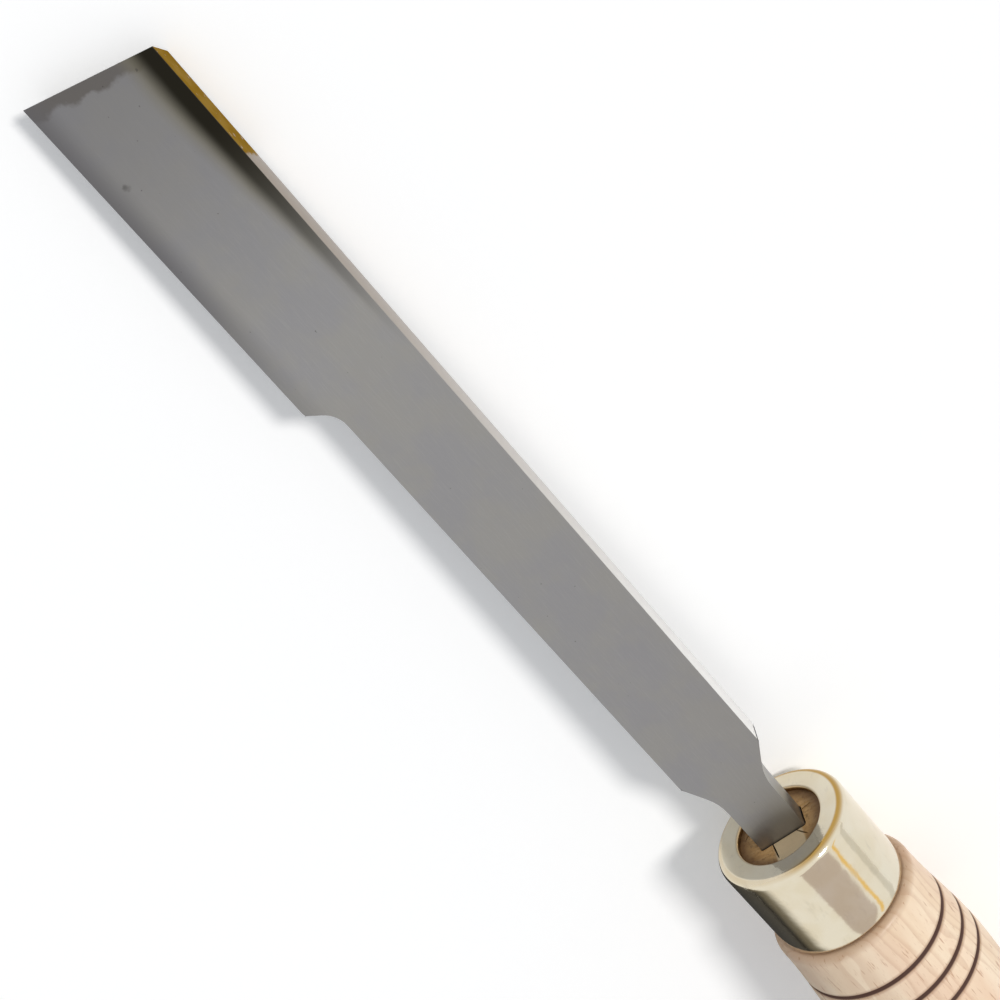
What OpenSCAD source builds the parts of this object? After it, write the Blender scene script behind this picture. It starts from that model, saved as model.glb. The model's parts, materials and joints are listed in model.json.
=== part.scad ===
// Side-cutting turning scraper for hollowing boxes: a ground steel blade whose tang is driven
// into a turned wooden handle, with a turned-in metal ferrule round the handle's nose.
// Everything is drawn along the tool's own axis, with x = 0 at the ferrule's front face and the
// tip towards +X, and then laid down as the tool rests on a bench: on the lower edge of its tip
// and on the bead of its handle. Lengths are in millimetres.

/* [Blade] */
// Width over the cutting end
blade_w = 20; // [18:0.5:24]
// Width behind the relief step
rear_w = 16; // [14:0.5:17]
// Thickness
blade_t = 5; // [3:0.5:8]
// From the ferrule's face to the nearer corner of the cutting end
blade_len = 173; // [150:1:200]
// How far the left corner leads the right one
tip_lead = 4; // [0:0.5:6]
// Lean of the bevel under the cutting end, from upright
tip_clearance = 31; // [5:1:35]
// Lean of the bevel under the left cutting side
side_clearance = 18; // [5:1:25]

/* [Relief step] */
// Where the step meets the narrow edge
step_x = 112.3; // [90:0.1:120]
// Slope of the step's shoulder to the edge
step_angle = 54; // [40:1:80]
// Hollow at the foot of the shoulder
step_fillet = 4.6; // [1:0.1:6]
// Rounding at the top of the shoulder
step_round = 1.2; // [0.5:0.1:2]

/* [Heel and tang] */
// Width of the neck where it enters the ferrule
neck_w = 9; // [7:0.5:11]
// Where the heel leaves the blade's edges
heel_x = 19.2; // [17:0.1:26]
// Slope of the heel to the edge
heel_angle = 27; // [20:1:45]
// Rounding at the top of the heel
heel_round = 4; // [1:0.5:5]
// Hollow where the heel runs into the neck
heel_fillet = 11; // [4:1:12]
// Depth of the tang behind the ferrule's face
tang_len = 66; // [40:1:80]
// Width of the tang at its end
tang_end_w = 3.4; // [2:0.1:5]
// Thickness of the tang at its end
tang_end_t = 2.6; // [1.5:0.1:3]

/* [Ferrule] */
// Outer diameter
ferrule_d = 26; // [25.8:0.1:27]
// Length
ferrule_len = 20; // [15:1:26]
// Thickness of the wall and of the turned-in front
ferrule_wall = 1; // [0.6:0.1:1.4]
// Diameter of the mouth in the turned-in front
mouth_d = 16.6; // [14:0.1:19]
// Rounding of the front corner
ferrule_round = 1.6; // [1:0.1:2.5]
// Gap between the ferrule and the handle's shoulder
ferrule_gap = 0.4; // [0:0.1:1]

/* [Handle] */
// Length behind the ferrule's face
handle_len = 250; // [220:1:300]
// Diameter of the shoulder behind the ferrule
shoulder_d = 28.6; // [28:0.1:30]
// Rounding of the shoulder
shoulder_round = 1.4; // [0.5:0.1:2]
// Diameter of the bead
bead_d = 31.6; // [31:0.1:34]
// Place of the bead's crown behind the ferrule's face
bead_x = 46; // [44:1:52]
// Diameter of the waist
waist_d = 24; // [20:0.5:28]
// Place of the waist
waist_x = 92; // [80:1:110]
// Diameter of the belly
belly_d = 29.6; // [26:0.1:32]
// Place of the belly's crown
belly_x = 170; // [150:1:185]
// Diameter where the rounded butt starts
butt_d = 25.6; // [20:0.1:28]
// Length of the rounded butt
butt_len = 11; // [6:1:14]
// Place of the first burnt line behind the ferrule's face
line_x = 31; // [28:0.1:34]
// Gap from the first line to the second
line_gap = 6.1; // [4:0.1:7]
// Gap from the second line to the third
last_gap = 5.1; // [4:0.1:7]
// Width of a burnt line's groove
line_w = 1.3; // [0.8:0.1:1.6]
// Depth of a burnt line's groove
line_depth = 0.6; // [0.3:0.1:0.8]

/* [Hidden] */

right_y = -rear_w / 2;
left_y = right_y + blade_w;
tip_skew = atan2(tip_lead, blade_w);
step_h = left_y - rear_w / 2;
step_top_x = step_x + step_h / tan(step_angle);
heel_foot_x = heel_x - (rear_w - neck_w) / 2 / tan(heel_angle);
cut = 4 * blade_t; // size of what grinds a bevel away
tang_clear = 0.1; // room round the tang in its socket

nose_r = ferrule_d / 2 - ferrule_wall;
shoulder_x = ferrule_len + ferrule_gap;
butt_x = handle_len - butt_len;
line_places = [line_x, line_x + line_gap, line_x + line_gap + last_gap];
curve_steps = 14; // points along each swell of the handle

// Crowns and hollows of the handle as [distance behind the ferrule's face, radius]
swells = [
    [shoulder_x + shoulder_round, shoulder_d / 2],
    [bead_x, bead_d / 2],
    [waist_x, waist_d / 2],
    [belly_x, belly_d / 2],
    [butt_x, butt_d / 2]
];
// Smooth line through the crowns and hollows, level at each of them
handle_line = [
    for (k = [0:len(swells) - 2], i = [(k == 0 ? 0 : 1):curve_steps])
        let (t = i / curve_steps, ease = (1 - cos(180 * t)) / 2)
            [swells[k][0] + t * (swells[k + 1][0] - swells[k][0]),
             swells[k][1] + ease * (swells[k + 1][1] - swells[k][1])]
];
// Quarter round of the shoulder's front edge and of the butt
shoulder_line = [
    for (a = [0:15:75])
        [shoulder_x + shoulder_round * (1 - sin(a)), shoulder_d / 2 - shoulder_round * (1 - cos(a))]
];
butt_line = [for (a = [9:9:81]) [butt_x + butt_len * sin(a), butt_d / 2 * cos(a)]];

// Resting place: the line under the tool from its tip to the handle's fullest point
tip_foot_x = blade_len - blade_t * tan(tip_clearance) + tip_lead * rear_w / 2 / blade_w;
rest_tilt = max([for (p = handle_line) atan2(p[1] - blade_t / 2, tip_foot_x + p[0])]);
rest_roll = asin(tan(rest_tilt) * tan(tip_skew));
rest_z = tip_foot_x * sin(rest_tilt) + blade_t / 2 * cos(rest_tilt);
front_reach = (blade_len + tip_lead) * cos(rest_tilt) + (blade_t / 2 + left_y * sin(rest_roll)) * sin(rest_tilt);
back_reach = butt_x * cos(rest_tilt) + norm([butt_len * cos(rest_tilt), butt_d / 2 * sin(rest_tilt)]);
rest_x = (back_reach - front_reach) / 2;

function heading(angle) = [cos(angle), sin(angle)];

// From the tool's own axis to the bench, with the middle of the tool over the origin
module lay_down() {
    translate([rest_x, 0, rest_z]) rotate([rest_roll, rest_tilt, 0]) children();
}

// Revolves an outline drawn as [radius, place along X] round the tool's axis
module turned() {
    rotate([0, 90, 0]) rotate_extrude($fn = 120) children();
}

// The curved sliver between a corner, whose sides head out at two angles, and the arc that rounds it
module corner_web(corner, from_angle, to_angle, r) {
    half = (to_angle - from_angle) / 2;
    centre = corner + r / sin(half) * heading(from_angle + half);
    difference() {
        polygon([
            corner,
            corner + r / tan(half) * heading(from_angle),
            centre,
            corner + r / tan(half) * heading(to_angle)
        ]);
        translate(centre) circle(r, $fn = 96);
    }
}

// Blade and tang seen from above, with square corners
module blade_plan() {
    polygon([
        [-tang_len, -tang_end_w / 2],
        [0, -neck_w / 2],
        [heel_foot_x, -neck_w / 2],
        [heel_x, right_y],
        [blade_len, right_y],
        [blade_len + tip_lead, left_y],
        [step_top_x, left_y],
        [step_x, rear_w / 2],
        [heel_x, rear_w / 2],
        [heel_foot_x, neck_w / 2],
        [0, neck_w / 2],
        [-tang_len, tang_end_w / 2]
    ]);
}

// Blade and tang seen from above, with the step and the heel rounded as they are ground
module rounded_plan() {
    difference() {
        union() {
            blade_plan();
            corner_web([step_x, rear_w / 2], step_angle, 180, step_fillet);
            for (side = [0, 1]) mirror([0, side, 0])
                corner_web([heel_foot_x, neck_w / 2], heel_angle, 180, heel_fillet);
        }
        corner_web([step_top_x, left_y], 180 + step_angle, 360, step_round);
        for (side = [0, 1]) mirror([0, side, 0])
            corner_web([heel_x, rear_w / 2], 180 + heel_angle, 360, heel_round);
    }
}

// Blade and tang seen from the side
module blade_side() {
    polygon([
        [-tang_len, -tang_end_t / 2],
        [0, -blade_t / 2],
        [blade_len + tip_lead, -blade_t / 2],
        [blade_len + tip_lead, blade_t / 2],
        [0, blade_t / 2],
        [-tang_len, tang_end_t / 2]
    ]);
}

// Socket that the tang has seated itself in, a little larger all round
module tang_socket() {
    intersection() {
        translate([0, 0, -blade_t]) linear_extrude(2 * blade_t) polygon([
            [-tang_len - 2 * tang_clear, -tang_end_w / 2 - tang_clear],
            [0, -neck_w / 2 - tang_clear],
            [0, neck_w / 2 + tang_clear],
            [-tang_len - 2 * tang_clear, tang_end_w / 2 + tang_clear]
        ]);
        rotate([90, 0, 0]) translate([0, 0, -neck_w]) linear_extrude(2 * neck_w) polygon([
            [-tang_len - 2 * tang_clear, -tang_end_t / 2 - tang_clear],
            [0, -blade_t / 2 - tang_clear],
            [0, blade_t / 2 + tang_clear],
            [-tang_len - 2 * tang_clear, tang_end_t / 2 + tang_clear]
        ]);
    }
}

// Flat blade with its relief step, its heel, its tang and the two bevels ground under its edges
module blade() {
    color([0.47, 0.47, 0.47]) lay_down() difference() {
        intersection() {
            translate([0, 0, -blade_t]) linear_extrude(2 * blade_t) rounded_plan();
            rotate([90, 0, 0]) translate([0, 0, -blade_w]) linear_extrude(2 * blade_w) blade_side();
        }
        translate([blade_len, right_y, blade_t / 2]) rotate([0, 0, -tip_skew]) rotate([0, tip_clearance, 0])
            translate([0, -cut, -cut]) cube([cut, blade_w + 2 * cut, 2 * cut]);
        translate([step_x, left_y, blade_t / 2]) rotate([-side_clearance, 0, 0])
            translate([-cut, 0, -cut]) cube([blade_len, cut, 2 * cut]);
    }
}

// Thin cup with its front turned in to a round mouth
module ferrule() {
    lip_round = ferrule_wall / 2;
    color([0.86, 0.84, 0.76]) lay_down() turned() difference() {
        translate([0, -ferrule_len]) square([ferrule_d / 2, ferrule_len]);
        translate([-ferrule_d, -2 * ferrule_len - ferrule_wall]) square([ferrule_d + nose_r, 2 * ferrule_len]);
        translate([-ferrule_d, -2 * ferrule_len]) square([ferrule_d + mouth_d / 2, 3 * ferrule_len]);
        corner_web([ferrule_d / 2, 0], 180, 270, ferrule_round);
        corner_web([mouth_d / 2, 0], 270, 360, lip_round);
    }
}

// Outline of the handle, as [radius, place along X]
module handle_outline() {
    polygon([
        [0, -ferrule_wall],
        [nose_r, -ferrule_wall],
        [nose_r, -shoulder_x],
        for (i = [len(shoulder_line) - 1:-1:0]) [shoulder_line[i][1], -shoulder_line[i][0]],
        for (p = handle_line) [p[1], -p[0]],
        for (p = butt_line) [p[1], -p[0]],
        [0, -handle_len]
    ]);
}

// Turned handle with its nose, shoulder, bead, burnt lines, waist, belly and rounded butt
module handle() {
    color([0.82, 0.68, 0.54]) lay_down() difference() {
        turned() difference() {
            handle_outline();
            for (x = line_places)
                translate([lookup(x, handle_line), -x]) scale([2 * line_depth, line_w]) rotate(45)
                    square(sqrt(0.5), center = true);
        }
        tang_socket();
    }
}

blade();
ferrule();
handle();
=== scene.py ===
import json
import math

import bpy
from mathutils import Matrix, Vector

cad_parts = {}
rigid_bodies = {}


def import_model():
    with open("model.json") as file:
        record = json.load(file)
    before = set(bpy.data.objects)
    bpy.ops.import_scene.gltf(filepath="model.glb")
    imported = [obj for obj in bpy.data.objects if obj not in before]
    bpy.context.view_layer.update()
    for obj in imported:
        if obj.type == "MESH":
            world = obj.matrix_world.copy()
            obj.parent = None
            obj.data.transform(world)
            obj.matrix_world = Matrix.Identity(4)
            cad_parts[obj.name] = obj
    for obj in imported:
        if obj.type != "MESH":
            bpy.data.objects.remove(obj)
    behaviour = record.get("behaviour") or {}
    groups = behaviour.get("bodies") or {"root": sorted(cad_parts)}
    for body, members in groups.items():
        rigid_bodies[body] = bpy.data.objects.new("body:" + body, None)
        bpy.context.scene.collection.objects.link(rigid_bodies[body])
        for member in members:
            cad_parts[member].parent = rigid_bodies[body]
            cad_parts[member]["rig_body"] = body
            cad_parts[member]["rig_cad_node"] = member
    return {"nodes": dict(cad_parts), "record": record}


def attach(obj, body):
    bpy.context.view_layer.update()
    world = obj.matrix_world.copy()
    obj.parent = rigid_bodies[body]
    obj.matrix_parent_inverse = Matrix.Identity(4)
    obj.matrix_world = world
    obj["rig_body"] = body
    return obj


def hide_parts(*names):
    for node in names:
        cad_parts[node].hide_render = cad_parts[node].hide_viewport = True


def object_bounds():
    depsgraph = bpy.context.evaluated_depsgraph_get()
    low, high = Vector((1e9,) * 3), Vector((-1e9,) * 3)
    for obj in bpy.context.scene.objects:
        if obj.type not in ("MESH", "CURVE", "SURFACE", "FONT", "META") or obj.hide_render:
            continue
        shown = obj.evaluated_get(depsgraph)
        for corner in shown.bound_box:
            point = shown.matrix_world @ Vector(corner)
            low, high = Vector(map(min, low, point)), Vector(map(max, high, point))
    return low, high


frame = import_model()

cadLow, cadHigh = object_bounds()
mm = 0.001
weldWithin = 0.002
print("frame loaded, pieces:", sorted(frame["nodes"]))


# Where the tool lies: its axis and the square of its blade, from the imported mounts
def findToolPlace():
    mounts = {m["name"]: m for m in frame["record"]["mounts"]}
    barrel, underside = mounts["ferrule_barrel"], mounts["blade_underside"]
    along = Vector(barrel["axis"]).normalized()
    up = -Vector(underside["axis"]).normalized()
    left = up.cross(along).normalized()
    up = along.cross(left)
    place = Matrix((along, left, up)).transposed().to_4x4()
    middle = Vector(barrel["pos_m"])
    halfBarrel = barrel["dims"]["length_mm"] / 2 * mm
    place.translation = middle + along * (halfBarrel + ferruleSizes["cornerRound"] * mm)
    return place


# Ferrule, in millimetres behind and round its front face
ferruleSizes = {
    "outerRadius": 13.0,
    "length": 20.0,
    "wall": 1.0,
    "mouthRadius": 8.3,
    "cornerRound": 1.6,
    "lipRound": 0.45,
    "rearRound": 0.3,
    "frontFlat": 1.2,
    "sides": 192,
    "smoothUnder": 30,
}

# Handle, in millimetres behind the ferrule's front face
handleSizes = {
    "noseRadius": 12.0,
    "noseFront": 1.0,
    "shoulder": 20.4,
    "shoulderRound": 1.4,
    "swells": [(21.8, 14.3), (46.0, 15.8), (92.0, 12.0), (170.0, 14.8), (239.0, 12.8)],
    "swellSteps": 26,
    "buttLength": 11.0,
    "lines": [31.0, 37.1, 42.2],
    "lineHalfWidth": 0.6,
    "lineDepth": 0.6,
    "lineClear": 0.35,
    # Half of a groove, as (distance, depth): rounded land, sloping wall, round bottom
    "landWidth": 0.3,
    "groove": [(-1.0, 0.06), (-0.7, 0.22), (-0.35, 0.8), (0, 1.0)],
    "noseRings": (2.0, 7.0),
    "noseBreak": 0.3,
    "noseGap": 0.01,
    "buttSteps": 19,
    "buttTip": 0.05,
    "sides": 160,
    "smoothUnder": 35,
}

toolPlace = findToolPlace()
toolAngles = toolPlace.to_euler()
toolOrigin = toolPlace.translation.copy()


# Small helpers for modelling

def deselectAll():
    if bpy.context.object and bpy.context.object.mode != "OBJECT":
        bpy.ops.object.mode_set(mode="OBJECT")
    bpy.ops.object.select_all(action="DESELECT")


def pick(piece):
    deselectAll()
    piece.select_set(True)
    bpy.context.view_layer.objects.active = piece


def applyAll(piece):
    pick(piece)
    for modifier in list(piece.modifiers):
        bpy.ops.object.modifier_apply(modifier=modifier.name)


# Moves a piece drawn on the tool's own axis to where the tool lies
def layOnBench(piece):
    pick(piece)
    piece.matrix_world = toolPlace
    bpy.ops.object.transform_apply(location=True, rotation=True, scale=True)


def fixNormals(piece):
    pick(piece)
    bpy.ops.object.mode_set(mode="EDIT")
    bpy.ops.mesh.select_all(action="SELECT")
    bpy.ops.mesh.remove_doubles(threshold=weldWithin * mm)
    bpy.ops.mesh.normals_make_consistent(inside=False)
    bpy.ops.object.mode_set(mode="OBJECT")


# Turns a piece on the X axis: a ring of points is drawn out and sized along the profile,
# given as (distance behind the ferrule's face, radius) in millimetres
def turnOnAxis(name, profile, sides, closeRing=False):
    deselectAll()
    start = profile[0]
    bpy.ops.mesh.primitive_circle_add(
        vertices=sides, radius=start[1] * mm, location=(-start[0] * mm, 0, 0), rotation=(0, math.pi / 2, 0))
    piece = bpy.context.object
    piece.name = name
    bpy.ops.object.transform_apply(location=True, rotation=True, scale=True)
    bpy.ops.object.mode_set(mode="EDIT")
    bpy.ops.mesh.select_all(action="SELECT")
    if not closeRing:
        bpy.ops.mesh.edge_face_add()
    for before, after in zip(profile, profile[1:]):
        bpy.ops.mesh.extrude_region_move(
            TRANSFORM_OT_translate={"value": ((before[0] - after[0]) * mm, 0, 0)})
        grow = after[1] / before[1]
        bpy.ops.transform.resize(value=(1, grow, grow), center_override=(-after[0] * mm, 0, 0))
    bpy.ops.object.mode_set(mode="OBJECT")
    fixNormals(piece)
    return piece


# Points of a quarter round, as (distance, radius)
def quarterRound(centreAt, centreRadius, r, fromAngle, toAngle, steps):
    angles = [math.radians(fromAngle + (toAngle - fromAngle) * i / steps) for i in range(steps + 1)]
    return [(centreAt + r * math.cos(a), centreRadius + r * math.sin(a)) for a in angles]


# Small helpers for materials

class Paint:
    def __init__(self, name):
        self.material = bpy.data.materials.new(name)
        self.material.use_nodes = True
        self.tree = self.material.node_tree
        self.shader = self.tree.nodes["Principled BSDF"]
        self.column = 0

    def node(self, kind, **settings):
        made = self.tree.nodes.new(kind)
        made.location = (-200 - 180 * self.column, 0)
        self.column += 1
        for key, value in settings.items():
            setattr(made, key, value)
        return made

    def feed(self, socket, value):
        if isinstance(value, bpy.types.NodeSocket):
            self.tree.links.new(value, socket)
        elif isinstance(value, (tuple, list)) and len(value) == 3 and socket.type == "RGBA":
            socket.default_value = (*value, 1)
        else:
            socket.default_value = value

    # The tool's own coordinates in millimetres: x along it, y to its left, z up from its flat
    def toolCoordinates(self):
        coords = self.node("ShaderNodeTexCoord")
        mapping = self.node("ShaderNodeMapping", vector_type="TEXTURE")
        self.feed(mapping.inputs["Vector"], coords.outputs["Object"])
        mapping.inputs["Location"].default_value = toolOrigin
        mapping.inputs["Rotation"].default_value = toolAngles
        mapping.inputs["Scale"].default_value = (mm, mm, mm)
        return mapping.outputs["Vector"]

    def stretch(self, vector, scale, offset=(0, 0, 0)):
        mapping = self.node("ShaderNodeMapping")
        self.feed(mapping.inputs["Vector"], vector)
        mapping.inputs["Scale"].default_value = scale
        mapping.inputs["Location"].default_value = offset
        return mapping.outputs["Vector"]

    def split(self, vector):
        parts = self.node("ShaderNodeSeparateXYZ")
        self.feed(parts.inputs[0], vector)
        return parts.outputs

    def calc(self, operation, *values):
        made = self.node("ShaderNodeMath", operation=operation)
        for socket, value in zip(made.inputs, values):
            self.feed(socket, value)
        return made.outputs[0]

    def plus(self, a, b):
        return self.calc("ADD", a, b)

    def times(self, a, b):
        return self.calc("MULTIPLY", a, b)

    # Squares of two distances, added
    def squares(self, a, b):
        return self.plus(self.calc("POWER", a, 2.0), self.calc("POWER", b, 2.0))

    # 0 below low, 1 above high, smooth between
    def fade(self, value, low, high, fromValue=0.0, toValue=1.0):
        made = self.node("ShaderNodeMapRange", interpolation_type="SMOOTHSTEP", clamp=True)
        for key, given in (("Value", value), ("From Min", low), ("From Max", high),
                           ("To Min", fromValue), ("To Max", toValue)):
            self.feed(made.inputs[key], given)
        return made.outputs["Result"]

    def noise(self, vector, scale, detail=3.0, rough=0.5):
        made = self.node("ShaderNodeTexNoise")
        self.feed(made.inputs["Vector"], vector)
        made.inputs["Scale"].default_value = scale
        made.inputs["Detail"].default_value = detail
        made.inputs["Roughness"].default_value = rough
        return made.outputs["Fac"]

    def mix(self, factor, a, b):
        made = self.node("ShaderNodeMix", data_type="RGBA", clamp_factor=True)
        self.feed(made.inputs["Factor"], factor)
        self.feed(made.inputs["A"], a)
        self.feed(made.inputs["B"], b)
        return made.outputs["Result"]

    def bump(self, height, strength, distance):
        made = self.node("ShaderNodeBump")
        made.inputs["Strength"].default_value = strength
        made.inputs["Distance"].default_value = distance
        self.feed(made.inputs["Height"], height)
        return made.outputs["Normal"]

    def finish(self, **values):
        for key, value in values.items():
            self.feed(self.shader.inputs[key.replace("_", " ")], value)
        return self.material


# Colour written as it looks on a screen, 0 to 255
def shade(r, g, b):
    return tuple((v / 255 / 12.92) if v <= 10 else ((v / 255 + 0.055) / 1.055) ** 2.4 for v in (r, g, b))


# Blade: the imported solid's own shape with its long straight edges just broken, as with a stone

# Places are in the tool's own millimetres, angles in degrees
bladeLook = {
    "backEdge": -8.0,
    "tipAt": 173.0,
    "steel": shade(146, 146, 146),
    "steelCool": shade(143, 143, 146),
    "steelWarm": shade(147, 146, 144),
    # Painted reflection of something dark along the back edge, and its softer border
    "darkReflection": shade(36, 34, 28),
    "darkReflectionBorder": shade(116, 112, 98),
    "scratched": shade(168, 167, 165),
    # Darker tone towards the tip, over the span that follows
    "tipDarker": shade(108, 108, 111),
    "tipDarkerOver": (118, 178),
    "edgeTone": shade(90, 86, 83),
    "cuttingSideTone": shade(98, 97, 100),
    "lacquer": shade(144, 114, 50),
    "lacquerDark": shade(136, 104, 34),
    "lacquerFrom": (151.2, 152.2),
    "pitPlace": (159.5, 8.5),
    "pitTone": shade(70, 68, 66),
    "sideSteel": shade(196, 188, 180),
    # Painted highlight on the back side: pale towards the handle, greyer towards the tip
    "sideLitPale": shade(238, 237, 235),
    "sideDimGrey": shade(156, 145, 134),
    "grindDepth": 0.03,
    "edgeBreak": 0.12,
    "edgeSteps": 2,
    "longEdge": 8.0,
    "flatWithin": 0.6,
    "smoothUnder": 20,
}


def makeBladeSteel():
    look = bladeLook
    p = Paint("groundSteel")
    place = p.toolCoordinates()
    x, y, z = p.split(place)
    mottle = p.noise(place, 0.11, 3, 0.55)
    cloud = p.noise(p.stretch(place, (0.35, 1, 1)), 0.32, 4, 0.6)
    grind = p.noise(p.stretch(place, (0.05, 1, 1)), 5.5, 4, 0.7)
    fine = p.noise(p.stretch(place, (0.12, 1, 1)), 22, 2, 0.6)
    steel = p.mix(p.fade(mottle, 0.38, 0.62), look["steelCool"], look["steelWarm"])
    steel = p.mix(p.fade(y, -8.5, -3.0, 0.55, 0.0), steel, look["steelWarm"])
    steel = p.mix(p.fade(cloud, 0.3, 0.75, 0.0, 0.5), steel, look["steel"])
    steel = p.mix(p.fade(grind, 0.45, 0.75, 0.0, 0.22), steel, look["scratched"])

    # Darker towards the tip
    steel = p.mix(p.fade(x, *look["tipDarkerOver"], 0.0, 0.62), steel, look["tipDarker"])
    onTop = p.fade(z, 2.2, 2.4)

    # Darker strip that use and whetting have left along the cutting end, with a ragged inner line
    lead = p.times(p.calc("SUBTRACT", y, look["backEdge"]), 0.2)
    fromTip = p.calc("SUBTRACT", p.plus(lead, look["tipAt"]), x)
    jag = p.calc("MULTIPLY_ADD", p.noise(place, 0.3, 4, 0.55), 4.4, -2.2)
    whetted = p.fade(p.plus(fromTip, jag), 1.7, 2.9, 0.75, 0.0)
    steel = p.mix(p.times(whetted, onTop), steel, look["edgeTone"])
    # And a faint darker band along the cutting side, more towards the tip
    sideDark = p.times(p.fade(y, 7.6, 12.2, 0.0, 0.8), p.fade(x, 112, 150, 0.35, 1.0))
    steel = p.mix(p.times(sideDark, onTop), steel, look["cuttingSideTone"])

    # Painted reflection of something dark along the back edge, widest at the tip and gone before the relief
    # step
    ragged = p.calc("MULTIPLY_ADD", p.noise(p.stretch(place, (0.3, 1, 1)), 0.16, 3), 1.0, -0.5)
    fromBack = p.plus(p.calc("SUBTRACT", y, look["backEdge"]), ragged)
    reach = p.fade(x, 108, 172, 0.2, 1.0)
    closeness = p.calc("DIVIDE", fromBack, reach)
    strength = p.fade(x, 112, 160)
    reflectionBorder = p.times(p.fade(closeness, 3.0, 6.5, 0.75, 0.0), strength)
    reflectionCore = p.times(p.fade(closeness, 1.7, 4.6, 1.0, 0.0), strength)
    steel = p.mix(p.times(reflectionBorder, onTop), steel, look["darkReflectionBorder"])
    steel = p.mix(p.times(reflectionCore, onTop), steel, look["darkReflection"])

    # Back side: painted highlight, brighter towards the handle, with amber lacquer left on its front end
    # (round the heel the back side turns in towards the neck)
    inward = p.calc("SUBTRACT", y, p.fade(x, 30, 38, -3.6, -7.93))
    onBack = p.times(p.fade(inward, 0.0, 0.07, 1.0, 0.0), p.fade(x, 12, 17))
    betweenFaces = p.times(p.fade(z, 2.36, 2.44, 1.0, 0.0), p.fade(z, -2.46, -2.4))
    onBack = p.times(onBack, betweenFaces)
    sidePaintedLight = p.mix(p.fade(x, 20, 150, 0.0, 1.0), look["sideLitPale"], look["sideDimGrey"])
    backSteel = p.mix(p.fade(grind, 0.4, 0.7, 0.0, 0.15), sidePaintedLight, look["sideSteel"])
    slant = p.calc("MULTIPLY_ADD", z, -0.55, x)
    worn = p.calc("MULTIPLY_ADD", p.noise(place, 0.9, 4, 0.7), 2.2, -1.1)
    lacquered = p.fade(p.plus(slant, worn), *look["lacquerFrom"])
    chipped = p.fade(p.noise(p.stretch(place, (0.7, 1, 1)), 1.1, 3), 0.64, 0.7, 1.0, 0.25)
    amber = p.mix(p.fade(p.noise(place, 0.35, 3), 0.35, 0.65), look["lacquer"], look["lacquerDark"])
    backTone = p.mix(p.times(lacquered, chipped), backSteel, amber)
    steel = p.mix(onBack, steel, backTone)

    # Scattered small pits, and one larger near the cutting side
    pit = p.fade(p.noise(place, 1.35, 1, 0.4), 0.81, 0.83, 0.0, 0.5)
    pitX, pitY = look["pitPlace"]
    acrossPit = p.squares(p.plus(x, -pitX), p.plus(y, -pitY))
    pit = p.calc("MAXIMUM", pit, p.fade(p.plus(acrossPit, p.noise(place, 1.5)), 0.4, 1.1, 0.6, 0.0))
    steel = p.mix(pit, steel, look["pitTone"])

    # Lacquer isn't metal
    metal = p.fade(p.times(p.times(lacquered, chipped), onBack), 0.0, 0.8, 1.0, 0.0)
    rough = p.calc("MULTIPLY_ADD", grind, 0.16, 0.3)
    relief = p.plus(p.times(grind, 0.6), p.times(fine, 0.4))
    normal = p.bump(relief, 0.16, look["grindDepth"] * mm)
    return p.finish(Base_Color=steel, Metallic=metal, Roughness=rough, Normal=normal,
                    Specular_IOR_Level=0.0)


def makeBlade():
    source = frame["nodes"]["blade"]
    blade = source.copy()
    blade.data = source.data.copy()
    bpy.context.scene.collection.objects.link(blade)
    blade.name = "groundBlade"
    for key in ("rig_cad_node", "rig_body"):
        if key in blade:
            del blade[key]
    blade.parent = None
    blade.data.materials.clear()
    fixNormals(blade)
    pick(blade)
    bpy.ops.object.mode_set(mode="EDIT")
    bpy.ops.mesh.select_all(action="SELECT")
    bpy.ops.mesh.customdata_custom_splitnormals_clear()
    bpy.ops.mesh.dissolve_limited(angle_limit=math.radians(bladeLook["flatWithin"]))
    bpy.ops.object.mode_set(mode="OBJECT")
    # Only the long straight edges are broken, by the weight that each one gets here
    weights = blade.data.attributes.new("bevel_weight_edge", "FLOAT", "EDGE")
    for edge in blade.data.edges:
        start, end = (blade.data.vertices[i].co for i in edge.vertices)
        weights.data[edge.index].value = float((start - end).length > bladeLook["longEdge"] * mm)
    edges = blade.modifiers.new("brokenEdges", "BEVEL")
    edges.width = bladeLook["edgeBreak"] * mm
    edges.segments = bladeLook["edgeSteps"]
    edges.use_clamp_overlap = False
    edges.limit_method = "WEIGHT"
    applyAll(blade)
    pick(blade)
    bpy.ops.object.shade_smooth_by_angle(angle=math.radians(bladeLook["smoothUnder"]))
    blade.data.materials.append(makeBladeSteel())
    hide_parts("blade")
    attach(blade, "root")
    print("blade made,", len(blade.data.polygons), "faces")


# Ferrule: a thin cup turned in at the front, polished and plated

ferruleLook = {
    "plate": shade(226, 218, 198),
    "plateWarm": shade(218, 206, 178),
    "plateDull": shade(188, 178, 162),
    # Gold tones for the front corner and the mouth
    "cornerGold": shade(176, 136, 48),
    "mouthGold": shade(150, 116, 56),
    "rippleDepth": 0.1,
}


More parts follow.
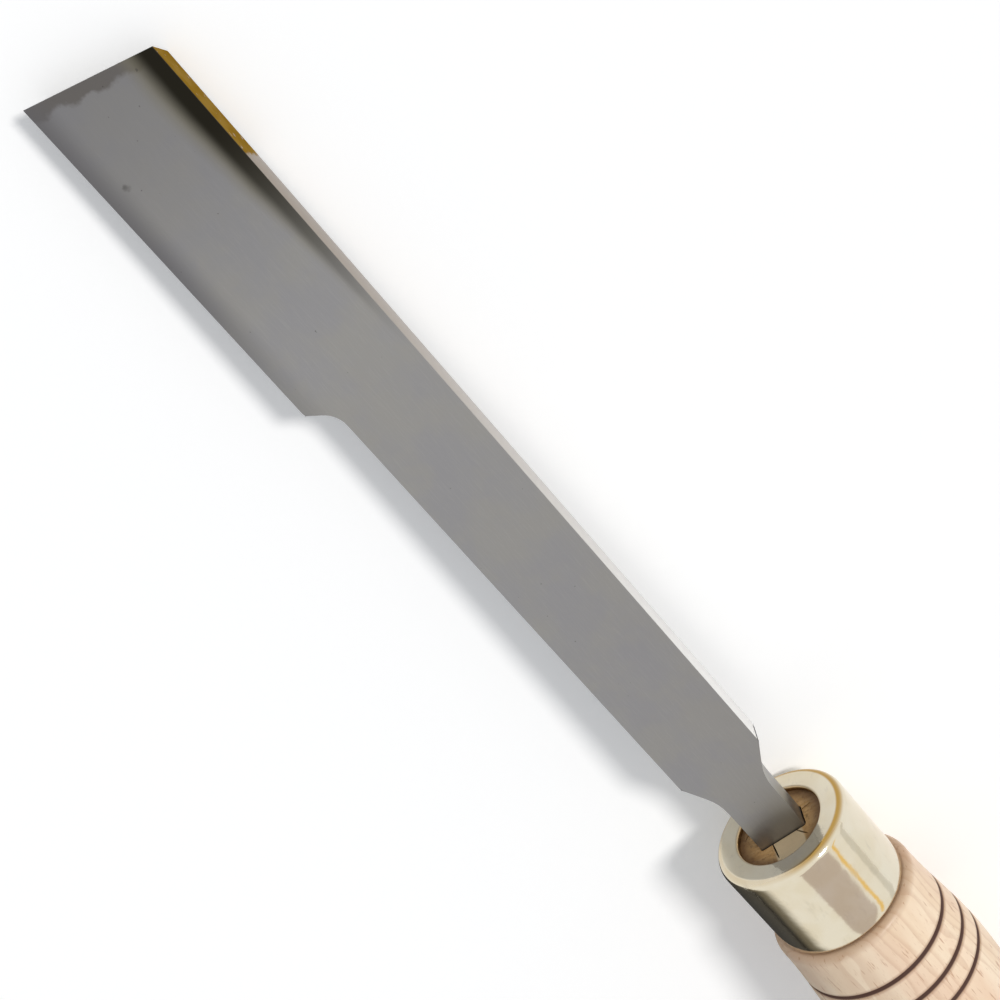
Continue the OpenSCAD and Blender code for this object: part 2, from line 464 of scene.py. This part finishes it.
def makeFerrulePlate():
    look = ferruleLook
    p = Paint("polishedPlate")
    place = p.toolCoordinates()
    x, y, z = p.split(place)
    cloud = p.noise(place, 0.16, 3, 0.5)
    spun = p.noise(p.stretch(place, (1, 0.03, 0.03)), 7.0, 3, 0.6)
    smear = p.noise(p.stretch(place, (0.4, 1, 1)), 0.5, 4, 0.6)
    tone = p.mix(p.fade(cloud, 0.35, 0.65, 0.0, 0.5), look["plate"], look["plateWarm"])
    tone = p.mix(p.fade(smear, 0.55, 0.8, 0.0, 0.4), tone, look["plateDull"])
    # Gold-toned on the front corner, most on its right side, and at the mouth
    radius = p.calc("SQRT", p.squares(y, z))
    corner = p.times(p.fade(radius, 11.5, 11.9), p.fade(x, -0.9, -0.15))
    corner = p.times(corner, p.fade(y, -5.0, 4.0, 1.0, 0.25))
    lip = p.fade(radius, 8.3, 8.9, 1.0, 0.0)
    tone = p.mix(p.times(corner, 0.9), tone, look["cornerGold"])
    tone = p.mix(p.times(lip, 0.8), tone, look["mouthGold"])
    rough = p.plus(p.fade(smear, 0.5, 0.85, 0.07, 0.2), p.times(spun, 0.04))
    ripple = p.plus(p.times(cloud, 2.0), p.times(spun, 0.12))
    normal = p.bump(ripple, 0.35, look["rippleDepth"] * mm)
    return p.finish(Base_Color=tone, Metallic=1.0, Roughness=rough, Normal=normal)


def makeFerrule():
    s = ferruleSizes
    outer, inner = s["outerRadius"], s["outerRadius"] - s["wall"]
    profile = [(s["wall"], inner), (s["wall"], s["mouthRadius"])]
    profile += quarterRound(s["lipRound"], s["mouthRadius"] + s["lipRound"], s["lipRound"], 270, 180, 5)
    profile += [(0, outer - s["cornerRound"] - s["frontFlat"])]
    profile += quarterRound(s["cornerRound"], outer - s["cornerRound"], s["cornerRound"], 180, 90, 12)
    profile += [(s["length"] * k, outer) for k in (0.3, 0.6, 0.9)]
    profile += quarterRound(s["length"] - s["rearRound"], outer - s["rearRound"], s["rearRound"], 90, 0, 4)
    profile += [(s["length"], inner), (s["length"] * 0.5, inner), (s["wall"], inner)]
    ferrule = turnOnAxis("ferruleCup", profile, s["sides"], closeRing=True)
    layOnBench(ferrule)
    pick(ferrule)
    bpy.ops.object.shade_smooth_by_angle(angle=math.radians(s["smoothUnder"]))
    ferrule.data.materials.append(makeFerrulePlate())
    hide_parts("ferrule")
    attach(ferrule, "root")
    print("ferrule made,", len(ferrule.data.polygons), "faces")


# Handle: turned from one length of pale wood, with burnt lines on the bead

handleLook = {
    "wood": shade(230, 204, 174),
    "woodPale": shade(240, 220, 194),
    "woodPink": shade(226, 190, 162),
    "fleck": shade(176, 126, 90),
    "burnt": shade(76, 46, 34),
    "scorched": shade(140, 92, 56),
    "endGrain": shade(170, 128, 72),
    "endPale": shade(208, 188, 152),
    # Dark grain in the end, also used for painted shade under the ferrule's lip
    "endDarkGrainAndShade": shade(92, 60, 24),
    "grime": shade(120, 88, 58),
    "pore": shade(186, 142, 104),
    # Painted shade at the shoulder, beside the ferrule
    "shoulderShade": shade(150, 108, 72),
    "endGrainPlain": shade(190, 152, 100),
    # Painted shade deep in the splits and the socket
    "recessShade": shade(48, 30, 16),
    "grainDepth": 0.08,
}

# Splits in the end grain beside the tang, in millimetres, and how far each is turned, in degrees
splitPlaces = [
    {"left": 2.1, "height": 4.4, "turn": 96, "length": 4.6, "width": 0.34},
    {"left": -3.5, "height": 3.7, "turn": 128, "length": 3.2, "width": 0.3},
    {"left": 5.9, "height": -3.2, "turn": 48, "length": 3.0, "width": 0.26},
    {"left": -5.6, "height": -1.6, "turn": 12, "length": 2.4, "width": 0.26},
]
splitDepth = 4.0

# Open slot that the tang lies in, from the front of the nose
tangSocket = {"width": 9.4, "height": 5.4, "depth": 14.0, "corner": 0.6}


def ringNearness(p, x, halfWidth, blur):
    nearest = None
    for line in handleSizes["lines"]:
        away = p.calc("ABSOLUTE", p.plus(x, line))
        here = p.fade(away, halfWidth, halfWidth + blur, 1.0, 0.0)
        nearest = here if nearest is None else p.calc("MAXIMUM", nearest, here)
    return nearest


def makeHandleWood():
    look = handleLook
    p = Paint("turnedWood")
    place = p.toolCoordinates()
    x, y, z = p.split(place)

    # Year rings seen on the turned surface: layers tilted a little to the axis
    sway = p.noise(p.stretch(place, (0.012, 0.06, 0.06)), 1.0, 3, 0.5)
    layer = p.plus(p.times(z, 0.34), p.times(y, 0.16))
    layer = p.plus(layer, p.times(sway, 9.0))
    layer = p.plus(layer, p.times(x, 0.012))
    rings = p.calc("FRACT", layer)
    late = p.times(p.fade(rings, 0.55, 0.97), p.fade(rings, 0.97, 1.0, 1.0, 0.0))
    broad = p.noise(p.stretch(place, (0.02, 0.12, 0.12)), 1.0, 4, 0.6)
    wood = p.mix(p.fade(broad, 0.35, 0.65), look["wood"], look["woodPale"])
    pinkField = p.noise(p.stretch(place, (0.03, 0.1, 0.1), (7, 3, 1)), 1.0, 3)
    wood = p.mix(p.fade(pinkField, 0.45, 0.7, 0.0, 0.6), wood, look["woodPink"])
    wood = p.mix(p.times(late, 0.24), wood, look["fleck"])
    # Short ray flecks and finer pores along the grain
    fleckField = p.noise(p.stretch(place, (0.16, 1.9, 0.8)), 1.25, 2, 0.5)
    flecks = p.fade(fleckField, 0.62, 0.7, 0.0, 0.62)
    poreField = p.noise(p.stretch(place, (0.22, 3.2, 3.2)), 2.2, 2, 0.5)
    pores = p.fade(poreField, 0.63, 0.72, 0.0, 0.38)
    wood = p.mix(flecks, wood, look["fleck"])
    wood = p.mix(pores, wood, look["pore"])
    # Handling has darkened the waist and the belly a little
    grimeField = p.noise(p.stretch(place, (0.5, 1, 1)), 0.09, 5, 0.6)
    handled = p.times(p.fade(grimeField, 0.5, 0.72, 0.0, 0.168), p.fade(x, -70, -55, 1.0, 0.1))
    wood = p.mix(handled, wood, look["grime"])
    # Painted shade where the shoulder meets the ferrule
    wood = p.mix(p.fade(x, -22.4, -20.3, 0.0, 0.55), wood, look["shoulderShade"])
    # Burnt lines with a scorched border
    wood = p.mix(p.times(ringNearness(p, x, 0.45, 0.75), 0.55), wood, look["scorched"])
    wood = p.mix(ringNearness(p, x, 0.36, 0.2), wood, look["burnt"])

    # End grain inside the ferrule's mouth
    radius = p.calc("SQRT", p.squares(y, z))
    arcs = p.noise(p.stretch(place, (1, 0.25, 1.6)), 0.9, 4, 0.65)
    endWood = p.mix(p.fade(arcs, 0.35, 0.68), look["endGrainPlain"], look["endGrain"])
    endWood = p.mix(p.fade(p.noise(place, 1.6, 3), 0.5, 0.75, 0.0, 0.6), endWood, look["endDarkGrainAndShade"])
    # Painted shade towards the ferrule's lip, round the recessed end grain
    endWood = p.mix(p.fade(radius, 5.2, 8.2, 0.0, 0.85), endWood, look["endDarkGrainAndShade"])
    # A cleaner patch between the two long splits
    between = p.times(p.fade(y, -4.0, -3.5), p.fade(y, 2.0, 2.5, 1.0, 0.0))
    between = p.times(between, p.fade(z, 2.5, 2.9, 0.0, 0.8))
    endWood = p.mix(between, endWood, look["endPale"])
    # Painted shade inside the splits and the socket
    endWood = p.mix(p.fade(x, -1.5, -1.15, 0.9, 0.0), endWood, look["recessShade"])
    atEnd = p.fade(x, -8.0, -7.5)
    wood = p.mix(atEnd, wood, endWood)

    rough = p.fade(broad, 0.3, 0.7, 0.42, 0.52)
    rough = p.plus(rough, p.times(atEnd, 0.3))
    rough = p.plus(rough, p.times(ringNearness(p, x, 0.5, 0.3), 0.25))
    relief = p.plus(p.times(flecks, -0.5), p.times(pores, -0.7))
    relief = p.plus(relief, p.times(late, 0.25))
    normal = p.bump(relief, 0.3, look["grainDepth"] * mm)
    return p.finish(Base_Color=wood, Roughness=rough, Normal=normal, Coat_Weight=0.12, Coat_Roughness=0.3)


def handleRadius(at):
    swells = handleSizes["swells"]
    for (a, ra), (b, rb) in zip(swells, swells[1:]):
        if at <= b:
            t = max(0.0, (at - a) / (b - a))
            return ra + (rb - ra) * (1 - math.cos(math.pi * t)) / 2
    return swells[-1][1]


def handleProfile():
    s = handleSizes
    first, last = s["swells"][0], s["swells"][-1]
    profile = [(s["noseFront"], r) for r in (*s["noseRings"], s["noseRadius"] - s["noseBreak"])]
    noseRadius = s["noseRadius"] - s["noseGap"]
    profile += [(s["noseFront"] + s["noseBreak"], noseRadius), (s["shoulder"], noseRadius)]
    profile += quarterRound(s["shoulder"] + s["shoulderRound"], first[1] - s["shoulderRound"],
                            s["shoulderRound"], 180, 90, 8)
    # Evenly along the swells, with the burnt grooves cut in where they fall
    places = []
    for (a, _), (b, _) in zip(s["swells"], s["swells"][1:]):
        places += [(a + (b - a) * k / s["swellSteps"], 0.0) for k in range(1, s["swellSteps"] + 1)]
    w, d = s["lineHalfWidth"], s["lineDepth"]
    for line in s["lines"]:
        places = [q for q in places if abs(q[0] - line) > w + s["lineClear"]]
        groove = [(-w - s["landWidth"], 0)] + [(g * w, depth) for g, depth in s["groove"]]
        groove += [(-g, depth) for g, depth in reversed(groove[:-1])]
        places += [(line + g, depth * d) for g, depth in groove]
    profile += [(at, handleRadius(at) - depth) for at, depth in sorted(places)]
    for k in range(1, s["buttSteps"]):
        a = math.radians(90 * k / s["buttSteps"])
        profile.append((last[0] + s["buttLength"] * math.sin(a), last[1] * math.cos(a)))
    profile.append((last[0] + s["buttLength"], s["buttTip"]))
    return profile


# Cuts a block out of a piece and throws the block away
def cutAway(piece, cutter):
    pick(piece)
    cut = piece.modifiers.new("cut", "BOOLEAN")
    cut.operation = "DIFFERENCE"
    cut.solver = "EXACT"
    cut.object = cutter
    bpy.ops.object.modifier_apply(modifier=cut.name)
    bpy.data.objects.remove(cutter)


def makeSocketBlock():
    deselectAll()
    s = tangSocket
    bpy.ops.mesh.primitive_cube_add(size=1, location=(-s["depth"] / 2 * mm, 0, 0))
    block = bpy.context.object
    block.scale = ((s["depth"] + 2) * mm, s["width"] * mm, s["height"] * mm)
    bpy.ops.object.transform_apply(location=True, rotation=True, scale=True)
    rounding = block.modifiers.new("corners", "BEVEL")
    rounding.width = s["corner"] * mm
    rounding.segments = 3
    applyAll(block)
    return block


# A split is a thin lens, drawn as a cylinder pressed flat
def makeSplitBlock(where):
    deselectAll()
    bpy.ops.mesh.primitive_cylinder_add(vertices=18, radius=0.5, depth=1, rotation=(0, math.pi / 2, 0))
    block = bpy.context.object
    bpy.ops.object.transform_apply(location=False, rotation=True, scale=False)
    block.scale = (splitDepth * mm, where["length"] * mm, where["width"] * mm)
    block.rotation_euler = (math.radians(where["turn"]), 0, 0)
    block.location = (-handleSizes["noseFront"] * mm, where["left"] * mm, where["height"] * mm)
    bpy.ops.object.transform_apply(location=True, rotation=True, scale=True)
    return block


def makeHandle():
    handle = turnOnAxis("turnedHandle", handleProfile(), handleSizes["sides"])
    # The last small ring of the butt is drawn together to one point
    pick(handle)
    bpy.ops.object.mode_set(mode="EDIT")
    bpy.ops.mesh.select_all(action="DESELECT")
    bpy.ops.object.mode_set(mode="OBJECT")
    buttEnd = -(handleSizes["swells"][-1][0] + handleSizes["buttLength"]) * mm
    for vertex in handle.data.vertices:
        vertex.select = abs(vertex.co.x - buttEnd) < 1e-6 and vertex.co.yz.length < 0.001
    bpy.ops.object.mode_set(mode="EDIT")
    bpy.ops.mesh.select_mode(type="VERT")
    bpy.ops.mesh.merge(type="CENTER")
    bpy.ops.object.mode_set(mode="OBJECT")
    cutAway(handle, makeSocketBlock())
    for where in splitPlaces:
        cutAway(handle, makeSplitBlock(where))
    fixNormals(handle)
    layOnBench(handle)
    pick(handle)
    bpy.ops.object.shade_smooth_by_angle(angle=math.radians(handleSizes["smoothUnder"]))
    handle.data.materials.append(makeHandleWood())
    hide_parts("handle")
    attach(handle, "root")
    print("handle made,", len(handle.data.polygons), "faces")


# Bench, sky, window light, cards and camera

stageLook = {
    "floorTone": (0.93, 0.93, 0.93),
    "floorHalf": 6.0,
    "floorGap": 0.1,
    "skyFill": 0.5,
    "skySeen": (1.0, 0.99, 0.97),
    "skyTint": (0.93, 0.96, 1.0),
    "floorGlow": 0.15,
    "sun": 1.85,
    "sunTint": (1.0, 0.98, 0.95),
    "sunAngle": 13.0,
    "sunFrom": (0.3, -0.8, 1.0),
}


def makeFloor():
    deselectAll()
    floorHeight = cadLow.z - stageLook["floorGap"] * mm
    bpy.ops.mesh.primitive_plane_add(size=2 * stageLook["floorHalf"], location=(0, 0, floorHeight))
    floor = bpy.context.object
    floor.name = "benchTop"
    p = Paint("paleBench")
    lift = p.node("ShaderNodeLightPath")
    seen = p.calc("MAXIMUM", lift.outputs["Is Camera Ray"], lift.outputs["Is Glossy Ray"])
    seen = p.calc("MAXIMUM", seen, lift.outputs["Is Transmission Ray"])
    p.feed(p.shader.inputs["Emission Color"], (1.0, 1.0, 1.0))
    p.feed(p.shader.inputs["Emission Strength"], p.times(seen, stageLook["floorGlow"]))
    floor.data.materials.append(p.finish(
        Base_Color=stageLook["floorTone"], Roughness=0.9, Specular_IOR_Level=0.1))


def makeSky():
    world = bpy.data.worlds.new("paleRoom")
    bpy.context.scene.world = world
    world.use_nodes = True
    nodes, links = world.node_tree.nodes, world.node_tree.links
    ambient = nodes["Background"]
    ambient.inputs["Color"].default_value = (*stageLook["skyTint"], 1)
    ambient.inputs["Strength"].default_value = stageLook["skyFill"]
    plain = nodes.new("ShaderNodeBackground")
    plain.inputs["Color"].default_value = (*stageLook["skySeen"], 1)
    plain.inputs["Strength"].default_value = 1.0
    lightPath = nodes.new("ShaderNodeLightPath")
    seen = lightPath.outputs["Is Camera Ray"]
    for ray in ("Is Glossy Ray", "Is Transmission Ray"):
        either = nodes.new("ShaderNodeMath")
        either.operation = "MAXIMUM"
        links.new(seen, either.inputs[0])
        links.new(lightPath.outputs[ray], either.inputs[1])
        seen = either.outputs[0]
    choose = nodes.new("ShaderNodeMixShader")
    links.new(seen, choose.inputs[0])
    links.new(ambient.outputs[0], choose.inputs[1])
    links.new(plain.outputs[0], choose.inputs[2])
    links.new(choose.outputs[0], nodes["World Output"].inputs["Surface"])


# Cards that only polished metal shows, held round the bench, some shaded from their foot upwards
cards = {
    # The two dark cards stand in for the shadow on the bench beside the ferrule: painted shade seen only in
    # reflections
    "benchShadowCard": {"at": (-0.16, 0.22, 0.0012), "size": (0.38, 0.4), "tone": shade(12, 11, 10),
                  "flat": True},
    "lowShadowCard": {"at": (-0.35, 0.42, 0.06), "size": (0.9, 0.14), "tone": shade(14, 12, 10),
                 "above": shade(112, 106, 92)},
    "greyWall": {"at": (-0.42, 0.5, 0.24), "size": (0.9, 0.2), "tone": shade(112, 106, 92),
                 "above": shade(250, 248, 244)},
    "warmCloth": {"at": (-0.15, -0.085, 0.3), "size": (0.24, 0.24), "tone": shade(206, 195, 192)},
    "amberStrip": {"at": (-0.46, -0.66, 0.46), "size": (0.5, 0.07), "tone": shade(252, 212, 120)},
    "rightWall": {"at": (-0.4, -0.7, 0.1), "size": (0.9, 0.14), "tone": shade(226, 225, 222)},
}


def makeCards():
    for name, card in cards.items():
        deselectAll()
        bpy.ops.mesh.primitive_plane_add(size=1)
        board = bpy.context.object
        board.name = name
        board.scale = (card["size"][0], card["size"][1], 1)
        facing = toolOrigin - Vector(card["at"])
        if not card.get("flat"):
            board.rotation_euler = facing.to_track_quat("Z", "Y").to_euler()
        board.location = card["at"]
        p = Paint(name)
        tone = card["tone"]
        if "above" in card:
            _, height, _ = p.split(p.node("ShaderNodeTexCoord").outputs["Object"])
            tone = p.mix(p.fade(height, -0.5, 0.5), tone, card["above"])
        board.data.materials.append(p.finish(
            Base_Color=(0.0, 0.0, 0.0), Emission_Color=tone, Emission_Strength=1.0))
        board.visible_camera = False
        board.visible_diffuse = False
        board.visible_shadow = False
        board.visible_transmission = False


def makeWindowLight():
    lamp = bpy.data.lights.new("window", "SUN")
    lamp.energy = stageLook["sun"]
    lamp.color = stageLook["sunTint"]
    lamp.angle = math.radians(stageLook["sunAngle"])
    holder = bpy.data.objects.new("window", lamp)
    bpy.context.scene.collection.objects.link(holder)
    holder.rotation_euler = Vector(stageLook["sunFrom"]).to_track_quat("Z", "Y").to_euler()


# The photograph's viewpoint, worked out from the lines and rounds of the tool itself
cameraSettings = {
    "place": (0.29638, -0.08836, 0.29898),
    "turn": (-33.51, -6.725, -126.195),
    "lens": 80.746,
    "sensor": 36.0,
}


def makeCamera():
    data = bpy.data.cameras.new("viewpoint")
    data.lens = cameraSettings["lens"]
    data.sensor_width = cameraSettings["sensor"]
    data.clip_start, data.clip_end = 0.01, 50
    camera = bpy.data.objects.new("viewpoint", data)
    bpy.context.scene.collection.objects.link(camera)
    camera.location = cameraSettings["place"]
    camera.rotation_euler = [math.radians(a) for a in cameraSettings["turn"]]
    bpy.context.scene.camera = camera


makeBlade()
makeFerrule()
makeHandle()
makeFloor()
makeSky()
makeWindowLight()
makeCards()
makeCamera()
bpy.context.scene.view_settings.view_transform = "Standard"
deselectAll()
print("stage and viewpoint set")
